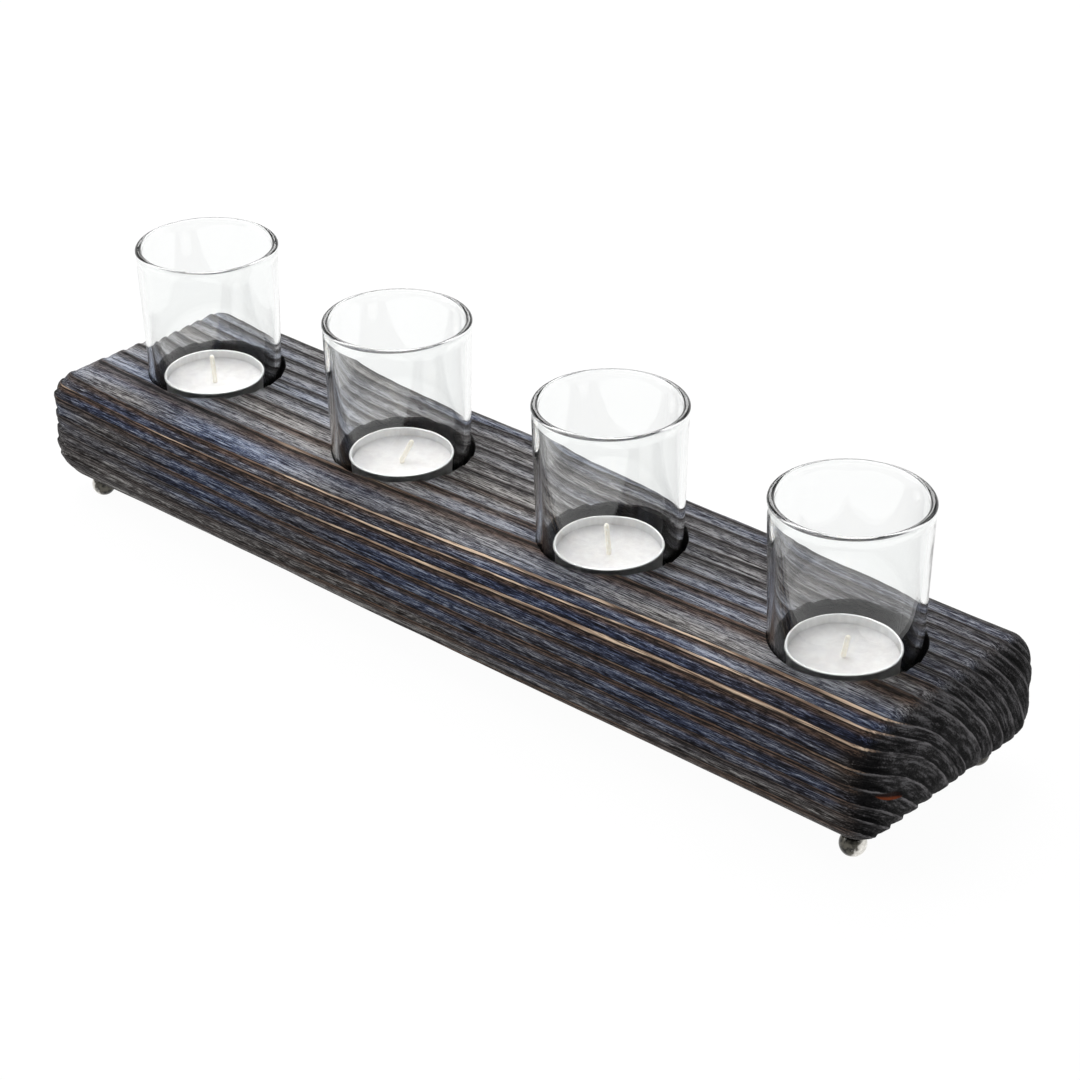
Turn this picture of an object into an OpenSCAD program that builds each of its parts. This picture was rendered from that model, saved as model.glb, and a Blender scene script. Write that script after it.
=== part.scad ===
// Votive candle rack.
// A solid block of charred, wire-brushed timber stands on four ball feet.
// Four glass cups sit in a row of round recesses, and each glass holds one tealight.
// The origin is the middle of the footprint, at floor level.
// +X runs along the block, +Y to its back and +Z up.

/* [Block] */
// Length of the timber block
block_l = 390; // [386:1:480]
// Width of the timber block, front to back
block_w = 94; // [88:1:140]
// Thickness of the timber block
block_h = 41; // [38:1:60]
// Radius of the block's rounded edges
edge_r = 12; // [8:0.5:14]

/* [Recesses] */
// Distance between the centres of neighbouring recesses
pitch = 99; // [72:1:100]
// Distance of the row of recesses behind the middle of the block
row_shift = 2; // [0:0.5:4]
// Distance of the row of recesses to the right of the middle of the block
row_offset = 0.5; // [0:0.5:2]
// Diameter of a recess
recess_d = 52; // [51.6:0.1:56]
// Depth of a recess
recess_depth = 23.5; // [15:0.5:25]

/* [Glasses] */
// Height of a glass
glass_h = 74; // [60:1:90]
// Diameter of a glass at its base
glass_base_d = 48.6; // [48:0.1:50]
// Diameter of a glass at its rim
glass_rim_d = 53.2; // [51:0.1:56]
// Thickness of a glass wall
glass_wall = 2.2; // [1.8:0.1:2.4]
// Thickness of a glass floor
glass_floor = 6; // [4:0.5:8]

/* [Tealights] */
// Diameter of a tealight over its rolled rim
tealight_d = 38; // [36:0.5:38.5]
// Height of a tealight cup
tealight_h = 16; // [14:0.5:18]
// Depth of the wax surface below the rim of the cup
wax_drop = 4; // [1:0.5:6]
// Diameter of a wick
wick_d = 2; // [1.4:0.1:2.4]

/* [Feet] */
// Diameter of a ball foot
ball_d = 9; // [9:0.5:12]
// Height that the feet hold the block at
foot_h = 8; // [7:0.5:8]
// Distance between the feet along the block
foot_span = 357; // [330:1:360]
// Distance between the feet from front to back
foot_track = 67; // [60:1:67]
// Shift of all four feet along the block
foot_shift = 3; // [0:0.5:4]
// Distance of the middle of the feet in front of the middle of the block
foot_forward = 2; // [0:0.5:2]

/* [Hidden] */
$fn = 64;
rounding_fn = 48;
cut = 1;

candles = [1 : 4];
ends = [-1, 1];
end_names = ["left", "right"];
side_names = ["front", "back"];

block_top = foot_h + block_h;
recess_floor = block_top - recess_depth;

// The edges were rounded by hand. This is the reach of the rounding along X, Y and Z at each corner,
// in parts of edge_r, by end (left, right), then side (front, back), then level (bottom, top).
corner_shapes = [
    [[[1.4, 0.7, 1], [1, 1.3, 0.7]], [[1, 1, 1], [1, 1, 1]]],
    [[[1, 1, 1], [1, 1, 1]], [[0.8, 0.9, 1.1], [0.8, 0.9, 1.1]]]
];

glass_base_r = glass_base_d / 2;
heel_r = 2;
inner_fillet_r = 2;
punt_r = 16;
punt_h = 1;
bead_r = 0.57 * glass_wall;
bead_z = glass_h - bead_r;
glass_taper = (glass_rim_d / 2 - bead_r + glass_wall / 2 - glass_base_r) / bead_z;

// Each glass stands a little off the middle of its recess, towards the front left
glass_gap = 0.3;
glass_play = recess_d / 2 - glass_outer(recess_depth) - glass_gap;
glass_stand = -min(0.7, glass_play) * [sqrt(0.5), sqrt(0.5)];

tealight_z = recess_floor + glass_floor;
// Where each tealight stands in its glass, off the middle
tealight_stands = [[-0.6, -0.2], [-0.2, 0.2], [0.1, -0.8], [0.4, -1.1]];
foil = 0.25;
rim_roll_r = 0.5;
cup_base_r = tealight_d / 2 - 1.1;
cup_top_r = tealight_d / 2 - rim_roll_r;
cup_chamfer = 0.8;
wax_top = tealight_h - wax_drop;
wax_gap = 0.05;

tab_d = 12.5;
tab_t = 0.25;
neck_r = wick_d / 2 + 0.4;
neck_h = 4;
wick_gap = 0.03;
// Each wick's lean in degrees, the heading of that lean, and its length above the wax
wick_poses = [[3, 222, 10.5], [27, 30, 9.5], [4, 222, 11], [20, -30, 9]];

ball_r = ball_d / 2;
land_r = 1.5;
ball_z = sqrt(ball_r * ball_r - land_r * land_r);
seat_depth = 0.8;
foot_neck_r = 2.4;
seat_r = foot_neck_r + 0.1;
stud_r = 1.45;
stud_gap = 0.05;
stud_z = 2.5;
pilot_r = 1.3;
pilot_depth = 16;
thread_core_r = 1.2;
thread_crest_r = 1.7;
thread_pitch = 1.5;
thread_turns = 8;
tip_h = 2.5;

function recess_xy(i) = [row_offset + (i - 2.5) * pitch, row_shift];
function glass_xy(i) = recess_xy(i) + glass_stand;
function tealight_xy(i) = glass_xy(i) + tealight_stands[i - 1];
function foot_x(e) = foot_shift + ends[e] * foot_span / 2;
function foot_y(s) = ends[s] * foot_track / 2 - foot_forward;
function glass_outer(z) = glass_base_r + glass_taper * z;
function glass_inner(z) = glass_outer(z) - glass_wall;
function cup_outer(z) = cup_base_r + (cup_top_r - cup_base_r) * z / tealight_h;
function cup_inner(z) = cup_outer(z) - foil;
// Points of a round stretch, with its centre, radius, first and last angle
function arc(centre, r, from, to, steps = 4) =
    [for (k = [0 : steps]) let (a = from + (to - from) * k / steps) centre + r * [cos(a), sin(a)]];

module at(xy, z) {
    translate([xy[0], xy[1], z]) children();
}

module at_foot(s, e) {
    translate([foot_x(e), foot_y(s), 0]) children();
}

// A stretched ball whose poles and equator lie exactly on the block's flat faces
module block_corner(reach) {
    scale(reach)
        rotate_extrude($fn = rounding_fn)
            intersection() {
                circle(1, $fn = rounding_fn);
                translate([0, -1]) square([1, 2]);
            }
}

module block() {
    color("#34363d")
        difference() {
            hull()
                for (e = [0, 1], s = [0, 1], v = [0, 1]) {
                    reach = edge_r * corner_shapes[e][s][v];
                    inner_x = ends[e] * (block_l / 2 - reach[0]);
                    inner_y = ends[s] * (block_w / 2 - reach[1]);
                    inner_z = ends[v] * (block_h / 2 - reach[2]);
                    translate([inner_x, inner_y, foot_h + block_h / 2 + inner_z]) block_corner(reach);
                }
            for (i = candles)
                at(recess_xy(i), recess_floor) cylinder(d = recess_d, h = recess_depth + cut, $fn = 96);
            for (s = [0, 1], e = [0, 1])
                at_foot(s, e) {
                    translate([0, 0, foot_h - cut]) cylinder(r = seat_r, h = seat_depth + cut);
                    translate([0, 0, foot_h - cut]) cylinder(r = pilot_r, h = pilot_depth + cut);
                }
        }
}

// A tapered cup with a thick floor, a hollow underside and a fire-rounded rim
module glass() {
    outside = concat(
        [[0, punt_h], [punt_r, 0]],
        arc([glass_base_r - heel_r, heel_r], heel_r, -90, 0),
        [[glass_outer(bead_z), bead_z], [0, bead_z]]
    );
    fillet_z = glass_floor + inner_fillet_r;
    fillet_centre = [glass_inner(fillet_z) - inner_fillet_r, fillet_z];
    inside = concat(
        [[0, glass_floor]],
        arc(fillet_centre, inner_fillet_r, -90, 0),
        [[glass_inner(glass_h), glass_h], [0, glass_h]]
    );
    color([0.80, 0.88, 0.86, 0.35])
        rotate_extrude($fn = 96)
            union() {
                difference() {
                    polygon(outside);
                    polygon(inside);
                }
                translate([glass_outer(bead_z) - glass_wall / 2, bead_z]) circle(bead_r, $fn = 32);
            }
}

// A thin pressed cup with a chamfered foot and a rolled rim
module tealight_cup() {
    roll_z = tealight_h - rim_roll_r;
    color("silver")
        rotate_extrude()
            union() {
                polygon([
                    [0, 0],
                    [cup_base_r - cup_chamfer, 0],
                    [cup_outer(cup_chamfer), cup_chamfer],
                    [cup_outer(roll_z), roll_z],
                    [cup_inner(roll_z), roll_z],
                    [cup_inner(cup_chamfer), cup_chamfer],
                    [cup_base_r - cup_chamfer, foil],
                    [0, foil]
                ]);
                translate([tealight_d / 2 - rim_roll_r, roll_z]) circle(rim_roll_r, $fn = 24);
            }
}

// The wax fills the cup around the wick's tab
module tealight_wax() {
    color("#f2f1ec")
        difference() {
            rotate_extrude()
                polygon([
                    [0, foil],
                    [cup_base_r - cup_chamfer - wax_gap, foil],
                    [cup_inner(cup_chamfer) - wax_gap, cup_chamfer],
                    [cup_inner(wax_top) - wax_gap, wax_top],
                    [0, wax_top]
                ]);
            translate([0, 0, foil - cut]) cylinder(d = tab_d + 2 * wick_gap, h = tab_t + cut);
            translate([0, 0, foil]) cylinder(r = neck_r + wick_gap, h = tab_t + neck_h);
            translate([0, 0, foil]) cylinder(r = wick_d / 2 + wick_gap, h = tealight_h);
        }
}

// A cotton wick: upright through the wax, and leaning above it
module wick(pose) {
    bend_z = wax_top + 0.5;
    color("#efe8d0") {
        union() {
            translate([0, 0, foil]) cylinder(d = wick_d, h = bend_z - foil);
            translate([0, 0, bend_z])
                rotate([0, pose[0], pose[1]])
                    translate([0, 0, -0.3]) cylinder(d = 0.92 * wick_d, h = pose[2]);
        }
    }
}

// The steel tab that holds the wick upright, with its crimped neck
module wick_tab() {
    color("gainsboro")
        translate([0, 0, foil])
            difference() {
                union() {
                    cylinder(d = tab_d, h = tab_t);
                    cylinder(r = neck_r, h = tab_t + neck_h);
                }
                translate([0, 0, -cut])
                    cylinder(r = wick_d / 2 + wick_gap, h = tab_t + neck_h + 2 * cut);
            }
}

// A ball foot with a small flat to stand on and a neck that enters the block
module foot() {
    color("silver")
        difference() {
            union() {
                intersection() {
                    translate([0, 0, ball_z]) sphere(ball_r);
                    translate([-ball_r, -ball_r, 0]) cube([ball_d, ball_d, foot_h]);
                }
                translate([0, 0, ball_z]) cylinder(r = foot_neck_r, h = foot_h + seat_depth - ball_z);
            }
            translate([0, 0, stud_z]) cylinder(r = stud_r + stud_gap, h = foot_h + seat_depth);
        }
}

// A double-ended screw: plain stud in the ball, wood thread in the block
module foot_screw() {
    thread_z = foot_h + seat_depth;
    thread_h = thread_turns * thread_pitch;
    crests = [for (k = [0 : thread_turns - 1]) each [
        [thread_core_r, thread_z + k * thread_pitch],
        [thread_crest_r, thread_z + (k + 0.5) * thread_pitch]
    ]];
    color("gray")
        rotate_extrude()
            polygon(concat(
                [[0, stud_z], [stud_r, stud_z], [stud_r, thread_z]],
                crests,
                [[thread_core_r, thread_z + thread_h], [0, thread_z + thread_h + tip_h]]
            ));
}

block();
for (i = candles) {
    at(glass_xy(i), recess_floor) glass();
    at(tealight_xy(i), tealight_z) tealight_cup();
    at(tealight_xy(i), tealight_z) tealight_wax();
    at(tealight_xy(i), tealight_z) wick(wick_poses[i - 1]);
    at(tealight_xy(i), tealight_z) wick_tab();
}
for (s = [0, 1], e = [0, 1]) {
    place = str(side_names[s], "_", end_names[e]);
    at_foot(s, e) foot();
    at_foot(s, e) foot_screw();
}
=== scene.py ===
"""Looks of the votive candle rack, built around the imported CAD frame.

Metres, with +X along the block, +Y to its back and +Z up. The mesh makers work in millimetres.
"""

import itertools
import math

import bpy
import numpy as np
from mathutils import Matrix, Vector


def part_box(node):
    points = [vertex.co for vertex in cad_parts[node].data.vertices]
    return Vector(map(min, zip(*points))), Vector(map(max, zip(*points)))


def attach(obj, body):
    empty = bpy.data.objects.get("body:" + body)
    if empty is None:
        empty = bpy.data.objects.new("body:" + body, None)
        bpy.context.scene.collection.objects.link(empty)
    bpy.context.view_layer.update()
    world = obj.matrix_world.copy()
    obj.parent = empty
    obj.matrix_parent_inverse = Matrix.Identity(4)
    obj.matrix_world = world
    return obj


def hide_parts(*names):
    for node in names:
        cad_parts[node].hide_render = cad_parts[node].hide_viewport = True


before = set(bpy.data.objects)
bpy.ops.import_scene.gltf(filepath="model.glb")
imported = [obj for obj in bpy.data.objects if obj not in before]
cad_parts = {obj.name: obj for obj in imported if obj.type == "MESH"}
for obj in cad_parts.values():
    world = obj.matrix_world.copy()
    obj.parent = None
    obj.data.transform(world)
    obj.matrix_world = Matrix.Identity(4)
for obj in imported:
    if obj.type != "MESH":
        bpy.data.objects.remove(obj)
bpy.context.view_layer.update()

MM = 0.001
TAU = 2 * math.pi
CANDLES = (1, 2, 3, 4)

# ---------------------------------------------------------------- measures of the CAD parts, in mm


def box_mm(node):
    """Lowest and highest corner of a CAD node, in mm."""
    low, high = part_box(node)
    return np.array(low) / MM, np.array(high) / MM


BLOCK_LOW, BLOCK_HIGH = box_mm("block")
BLOCK_MIDDLE = (BLOCK_LOW + BLOCK_HIGH) / 2
BLOCK_HALF = (BLOCK_HIGH - BLOCK_LOW) / 2
EDGE_R = 12.0
# Reach of the rounding along X, Y and Z at each corner, in parts of EDGE_R, by end, side and level
CORNER_SHAPES = np.ones((2, 2, 2, 3))
CORNER_SHAPES[0, 0] = (1.4, 0.7, 1.0), (1.0, 1.3, 0.7)
CORNER_SHAPES[1, 1] = (0.8, 0.9, 1.1)
INNER_HALF = BLOCK_HALF - EDGE_R
RECESS_R = 26.0
GLASS_LOW = {i: box_mm(f"glass_{i}")[0] for i in CANDLES}
GLASS_HIGH = {i: box_mm(f"glass_{i}")[1] for i in CANDLES}
GLASS_XY = {i: ((GLASS_LOW[i] + GLASS_HIGH[i]) / 2)[:2] for i in CANDLES}
# Each glass stands this far off the middle of its recess.
GLASS_STAND = np.array([-0.495, -0.495])
RECESS_X = {i: (GLASS_XY[i] - GLASS_STAND)[0] for i in CANDLES}
RECESS_Y = (GLASS_XY[1] - GLASS_STAND)[1]
RECESS_FLOOR = GLASS_LOW[1][2]

# ---------------------------------------------------------------- meshes

SHARP_ANGLE = 60
# Large primes that scramble the cells of the noise
CELL_PRIMES = np.array([73856093, 19349663, 83492791])
SEED_PRIME = 2654435761
MIX_PRIMES = (1274126177, 668265263)
LOW_31_BITS = 0x7FFFFFFF


def value_noise(points, cell, seed):
    """Smooth noise from -1 to 1 at each point. cell is the size of one noise cell along each axis."""
    scaled = points / np.asarray(cell, float)
    corner = np.floor(scaled).astype(np.int64)
    t = scaled - corner
    t = t * t * (3 - 2 * t)
    total = np.zeros(len(points))
    for step in itertools.product((0, 1), repeat=3):
        lattice = corner + np.array(step)
        key = lattice @ CELL_PRIMES + seed * SEED_PRIME
        key = (key ^ (key >> 13)) * MIX_PRIMES[0] & LOW_31_BITS
        key = (key ^ (key >> 11)) * MIX_PRIMES[1] & LOW_31_BITS
        weight = np.prod(np.where(step, t, 1 - t), axis=1)
        total += weight * (key / (LOW_31_BITS // 2) - 1)
    return total


def smoothstep(low, high, x):
    t = np.clip((x - low) / (high - low), 0, 1)
    return t * t * (3 - 2 * t)


def unit(vectors):
    """Vectors scaled to a length of 1; those without any length stay so."""
    return vectors / np.maximum(np.linalg.norm(vectors, axis=-1, keepdims=True), 1e-9)


def make_object(name, points, faces, material, sharp_angle=SHARP_ANGLE):
    """A smooth-shaded object from points in mm and a list of faces."""
    mesh = bpy.data.meshes.new(name)
    mesh.from_pydata((np.asarray(points) * MM).tolist(), [], faces)
    mesh.validate()
    mesh.polygons.foreach_set("use_smooth", [True] * len(mesh.polygons))
    mesh.set_sharp_from_angle(angle=math.radians(sharp_angle))
    mesh.materials.append(material)
    thing = bpy.data.objects.new(name, mesh)
    bpy.context.scene.collection.objects.link(thing)
    return thing


def add_attribute(thing, name, values):
    attribute = thing.data.attributes.new(name, "FLOAT", "POINT")
    attribute.data.foreach_set("value", np.asarray(values, np.float32))


def grid_faces(rows, columns, offset=0, wrap=False):
    """Quads of a grid of points, row by row. wrap joins the last column to the first."""
    faces = []
    for j in range(rows - 1):
        for i in range(columns if wrap else columns - 1):
            k = (i + 1) % columns
            a, b = j * columns + i, j * columns + k
            faces.append((offset + a, offset + b, offset + b + columns, offset + a + columns))
    return faces


def lathe(name, profile, centre, material, segments, wobble=None):
    """A closed turned solid. profile runs from the axis to the axis, anticlockwise in (radius, height).

    wobble changes the radius and height of the points between the two ends.
    """
    profile = np.asarray(profile, float)
    rings = profile[1:-1]
    angle = np.arange(segments) * TAU / segments
    radius = np.repeat(rings[:, :1], segments, axis=1)
    height = np.repeat(rings[:, 1:], segments, axis=1)
    if wobble:
        radius, height = wobble(radius, height, angle)
    x = centre[0] + radius * np.cos(angle)
    y = centre[1] + radius * np.sin(angle)
    points = np.stack([x, y, centre[2] + height], axis=-1).reshape(-1, 3)
    faces = grid_faces(len(rings), segments, wrap=True)
    poles = [[centre[0], centre[1], centre[2] + h] for h in (profile[0][1], profile[-1][1])]
    first, last = len(points), len(points) + 1
    top = (len(rings) - 1) * segments
    for i in range(segments):
        k = (i + 1) % segments
        faces.append((first, k, i))
        faces.append((last, top + i, top + k))
    return make_object(name, np.vstack([points, poles]), faces, material)


def arc(centre, radius, start, end, steps):
    """Points of a round stretch of a profile, from one angle to another in degrees."""
    turn = np.radians(np.linspace(start, end, steps + 1))
    return [(centre[0] + radius * math.cos(a), centre[1] + radius * math.sin(a)) for a in turn]


def line(start, end, steps):
    """Evenly spaced points between two profile points, both left out."""
    return [tuple(p) for p in np.linspace(start, end, steps + 1)[1:-1]]


# ---------------------------------------------------------------- growth rings of the timber

# The pith lies outside the block, in front of it and below it.
PITH_Y, PITH_Z = -66.0, -25.0
# The rings bulge a little along the block.
BULGE, BULGE_END, BULGE_SPAN = 3.0, 180.0, 290.0
FIRST_RING = 41.0
RING_WIDTHS = (
    *(5.6, 4.6, 4.7, 5.7, 6.1, 7.3, 4.6, 3.6, 7.8, 5.5, 5.3),
    *(6.0, 5.1, 5.6, 5.2, 5.8, 4.9, 5.5, 5.2, 5.6, 5.0),
)
RING_RADII = FIRST_RING + np.cumsum((0.0,) + RING_WIDTHS)
# Width of a ring past the last one
NEXT_RING = 5.0
# How far past a crest its outer side takes to fall to the groove
DROP_WIDTH = 1.0


def ring_number(p):
    """Growth ring count at each point: it passes a whole number at each ring's dark outer crest."""
    bulge = BULGE * (1 - np.cos(math.pi * (BULGE_END - p[:, 0]) / BULGE_SPAN))
    radius = np.hypot(p[:, 1] - PITH_Y, p[:, 2] - PITH_Z) + bulge
    behind = smoothstep(-20, 45, p[:, 1])
    radius += 0.45 * value_noise(p, (70, 14, 14), seed=11)
    radius += (0.15 + 0.65 * behind) * value_noise(p, (26, 9, 9), seed=12)
    return np.interp(radius, RING_RADII, np.arange(len(RING_RADII)))


def ring_height(number):
    """Height of the brushed surface from 0 in a groove to 1 on a crest, seen across the rings."""
    whole = np.floor(number).astype(int)
    width = np.array(RING_WIDTHS + (NEXT_RING,))[np.clip(whole, 0, len(RING_WIDTHS))]
    across = number - whole
    drop = DROP_WIDTH / width
    rise = np.clip((across - drop) / (1 - drop), 0, 1)
    lobe = 0.85 * (1 - (1 - rise) ** 2.4) + 0.15 * smoothstep(0.55, 0.92, rise)
    return np.where(across < drop, 1 - smoothstep(0, 1, across / drop), lobe)


# ---------------------------------------------------------------- the timber block


def edge_steps(count):
    """Distances past the flat part at which a rounded edge is cut, up to its middle."""
    return EDGE_R * np.tan(np.linspace(0, math.pi / 4, count + 1)[1:])


def axis_cuts(half, flat_cuts, count):
    past = half - EDGE_R + edge_steps(count)
    return np.concatenate([-past[::-1], flat_cuts, past])


def spaced(start, end, step):
    return np.linspace(start, end, max(1, round(abs(end - start) / step)) + 1)


GRAIN_STEP = 0.6
ALONG_STEP = 2.4
EDGE_CUTS, END_CUTS = 16, 10
# Extra cuts where a recess's outline turns back, and how far in they reach
POLE_CUTS = RECESS_R * (1 - np.cos(np.radians((6, 12))))
POLE_REACH = RECESS_R * (1 - math.cos(math.radians(18)))
BLOCK_SHARP_ANGLE = 75


def block_rows():
    """Cuts across the block's width: even, but with extra ones at the front and back of the recesses."""
    low, high = RECESS_Y - RECESS_R, RECESS_Y + RECESS_R
    even = spaced(low + POLE_REACH, high - POLE_REACH, GRAIN_STEP)
    inside = np.concatenate([low + POLE_CUTS, even, (high - POLE_CUTS)[::-1]])
    front = spaced(-INNER_HALF[1], low, GRAIN_STEP)
    back = spaced(high, INNER_HALF[1], GRAIN_STEP)
    return axis_cuts(BLOCK_HALF[1], np.concatenate([front, inside, back]), EDGE_CUTS)


def block_patches():
    """Grids of points on the square-edged box: those that the brush reaches, and the recesses' own.

    Each recess has two grids, its wall and its floor.
    """
    rows = block_rows()
    lifts = axis_cuts(BLOCK_HALF[2], spaced(-INNER_HALF[2], INNER_HALF[2], GRAIN_STEP), EDGE_CUTS)
    stops = [-INNER_HALF[0]] + [RECESS_X[i] for i in CANDLES] + [INNER_HALF[0]]
    shares = [spaced(0, 1, ALONG_STEP / (b - a)) for a, b in zip(stops, stops[1:])]
    past = INNER_HALF[0] + edge_steps(END_CUTS)
    reach = np.sqrt(np.clip(RECESS_R**2 - (rows - RECESS_Y) ** 2, 0, None))

    stretches = []
    for k, share in enumerate(shares):
        left = stops[k] + reach * (k > 0)
        right = stops[k + 1] - reach * (k < len(shares) - 1)
        x = left[:, None] + (right - left)[:, None] * share
        ends = np.ones((len(rows), 1)) * past
        if k == 0:
            x = np.hstack([-ends[:, ::-1], x])
        if k == len(shares) - 1:
            x = np.hstack([x, ends])
        stretches.append(x)
    plain = np.concatenate(
        [-past[::-1]]
        + [stops[k] + (stops[k + 1] - stops[k]) * share[:-1] for k, share in enumerate(shares)]
        + [[stops[-1]], past]
    )

    def patch(x, y, z):
        x, y, z = np.broadcast_arrays(x, y, z)
        return np.stack([x, y, z], axis=-1)

    half = BLOCK_HALF
    brushed = [patch(x, rows[:, None], half[2]) for x in stretches]
    brushed.append(patch(plain[None], rows[:, None], -half[2]))
    brushed += [patch(plain[None], side * half[1], lifts[:, None]) for side in (-1, 1)]
    brushed += [patch(side * half[0], rows[:, None], lifts[None]) for side in (-1, 1)]

    cut = []
    inside = rows[reach > 0]
    inside = np.concatenate([[RECESS_Y - RECESS_R], inside, [RECESS_Y + RECESS_R]])
    across = np.sqrt(np.clip(RECESS_R**2 - (inside - RECESS_Y) ** 2, 0, None))
    floor_z = RECESS_FLOOR - BLOCK_MIDDLE[2]
    for i in CANDLES:
        loop_x = RECESS_X[i] + np.concatenate([across, -across[-2:0:-1], across[:1]])
        loop_y = np.concatenate([inside, inside[-2:0:-1], inside[:1]])
        depths = np.array([half[2], half[2] - 3.0, (half[2] + floor_z) / 2, floor_z])
        cut.append(patch(loop_x[None], loop_y[None], depths[:, None]))
        shrink = np.array([1.0, 0.6, 0.2])[:, None]
        floor_x = RECESS_X[i] + shrink * (loop_x - RECESS_X[i])
        cut.append(patch(floor_x, RECESS_Y + shrink * (loop_y - RECESS_Y), floor_z))
    return brushed, cut


def point_count(grid):
    return grid.shape[0] * grid.shape[1]


def weld(patches):
    """The points and quads of all grids with equal points merged, and where each point went."""
    faces, start = [], 0
    for grid in patches:
        faces += grid_faces(grid.shape[0], grid.shape[1], start)
        start += point_count(grid)
    points = np.vstack([grid.reshape(-1, 3) for grid in patches])
    rounded = np.round(points, 4)
    _, first, index = np.unique(rounded, axis=0, return_index=True, return_inverse=True)
    return points[first], index.ravel()[np.array(faces)], index.ravel()


# Where the front edge was knocked: place, radius and depth. Knocks are twice as long along the grain.
NICKS = (
    ((5.7, -46.6, 45.0), 1.6, 1.1),
    ((-118.0, -46.0, 38.0), 1.3, 0.7),
    ((96.0, -44.0, 46.5), 1.2, 0.6),
)
NICK_STRETCH = (2.0, 1.0, 1.0)

# The resin pocket in the right end face: its middle, half length, half width and slope
RESIN_MIDDLE = (195.0, -35.2, 27.3)
RESIN_HALF, RESIN_SLIM, RESIN_SLOPE = 7.0, 1.35, math.radians(-23)
# How deep the brush dug into it, and how far its colour goes in
RESIN_DEPTH, RESIN_THROUGH = 0.9, 8.0


def resin_distance(p):
    """Distance from the middle of the resin pocket, 1 at its outline."""
    y, z = p[:, 1] - RESIN_MIDDLE[1], p[:, 2] - RESIN_MIDDLE[2]
    along = y * math.cos(RESIN_SLOPE) + z * math.sin(RESIN_SLOPE)
    across = z * math.cos(RESIN_SLOPE) - y * math.sin(RESIN_SLOPE)
    far = np.where(p[:, 0] > 0, 0.0, 10.0)
    return np.hypot(along / RESIN_HALF, across / RESIN_SLIM) + far


def brushed_depth(p, normal, number):
    """How far the brush has eaten into the timber at each point, in mm."""
    end = np.abs(normal[:, 0])
    top = smoothstep(0.5, 0.95, normal[:, 2])
    under = smoothstep(0.0, 0.5, -normal[:, 2])
    relief = 0.85 - 0.10 * top - 0.05 * end + 0.22 * value_noise(p, (60, 8, 8), seed=21)
    relief *= 1 - 0.6 * under * (1 - smoothstep(0.15, 0.6, end))
    fibre = value_noise(p, (24, 1.3, 1.3), seed=22) + 0.6 * value_noise(p, (9, 0.8, 0.8), seed=23)
    depth = relief * (1 - ring_height(number))
    depth += 0.10 * (fibre + 1.1)
    depth += 0.06 * (value_noise(p, (45, 18, 18), seed=24) + 1)
    depth += RESIN_DEPTH * end * np.exp(-(resin_distance(p) ** 4))
    for place, radius, deep in NICKS:
        away = np.linalg.norm((p - np.array(place)) / NICK_STRETCH, axis=1)
        depth += deep * np.exp(-((away / radius) ** 2))
    return depth


def edge_reach(offset):
    """Reach of the rounding along X, Y and Z at points given from the block's middle."""
    share = np.clip(offset / INNER_HALF, -1, 1) / 2 + 0.5
    reach = np.zeros(offset.shape)
    for corner in itertools.product((0, 1), repeat=3):
        weight = np.prod(np.where(corner, share, 1 - share), axis=1)
        reach += EDGE_R * CORNER_SHAPES[corner] * weight[:, None]
    return reach


def hollow_direction(place):
    """The way from each place on a recess's wall or floor into that recess."""
    centres = np.array([RECESS_X[i] for i in CANDLES])
    gaps = np.hypot(place[:, :1] - centres, place[:, 1:2] - RECESS_Y)
    nearest = centres[np.argmin(gaps, axis=1)]
    return np.stack([nearest - place[:, 0], RECESS_Y - place[:, 1], np.ones(len(place))], axis=1)


def turn_outwards(quads, points, reached):
    """Turns quads so that they face away from the timber, and those in a recess into the hollow."""
    corner = points[quads]
    facing = np.cross(corner[:, 2] - corner[:, 0], corner[:, 3] - corner[:, 1])
    middle = corner.mean(axis=1)
    away = middle - BLOCK_MIDDLE
    away -= np.clip(away, -INNER_HALF, INNER_HALF)
    walls = ~reached[quads].all(axis=1)
    away[walls] = hollow_direction(middle[walls])
    turned = np.einsum("ij,ij->i", facing, away) < 0
    quads[turned] = quads[turned][:, ::-1]


def distinct_corners(quads):
    """Faces without the corners that were merged into their neighbours."""
    faces = []
    for quad in quads.tolist():
        face = [v for k, v in enumerate(quad) if v != quad[k - 1]]
        if len(set(face)) > 2:
            faces.append(face)
    return faces


def floor_middles(brushed, cut, index):
    """One face for each recess, which closes the middle of its floor."""
    faces = []
    start = sum(point_count(grid) for grid in brushed)
    for wall, floor in zip(cut[::2], cut[1::2]):
        start += point_count(wall) + point_count(floor)
        faces.append(index[start - floor.shape[1] : start - 1].tolist())
    return faces


def make_block(material):
    brushed, cut = block_patches()
    base, quads, index = weld(brushed + cut)
    reached = np.zeros(len(base), bool)
    reached[index[: sum(point_count(grid) for grid in brushed)]] = True

    reach = edge_reach(base)
    inner = np.clip(base, reach - BLOCK_HALF, BLOCK_HALF - reach)
    aim = unit((base - inner) / reach)
    rounded = np.where(reached[:, None], inner + reach * aim, base) + BLOCK_MIDDLE
    normal = unit(aim / reach)
    normal[~reached] = 0

    number = ring_number(rounded)
    depth = brushed_depth(rounded, normal, number)
    depth[~reached] = 0
    points = rounded - depth[:, None] * normal
    turn_outwards(quads, rounded, reached)
    faces = distinct_corners(quads) + floor_middles(brushed, cut, index)

    block = make_object("timber_block", points, faces, material, BLOCK_SHARP_ANGLE)
    attributes = {
        "ring": number,
        "turn": np.arctan2(rounded[:, 2] - PITH_Z, rounded[:, 1] - PITH_Y),
        "wall": 1.0 - reached,
        "end": np.abs(normal[:, 0]),
        "worn": worn_amount(rounded, normal, number),
        "blue": blue_amount(rounded, normal),
        "pale": tone_and_painted_light(rounded, normal),
    }
    for name, values in attributes.items():
        add_attribute(block, name, values)
    return block


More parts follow.
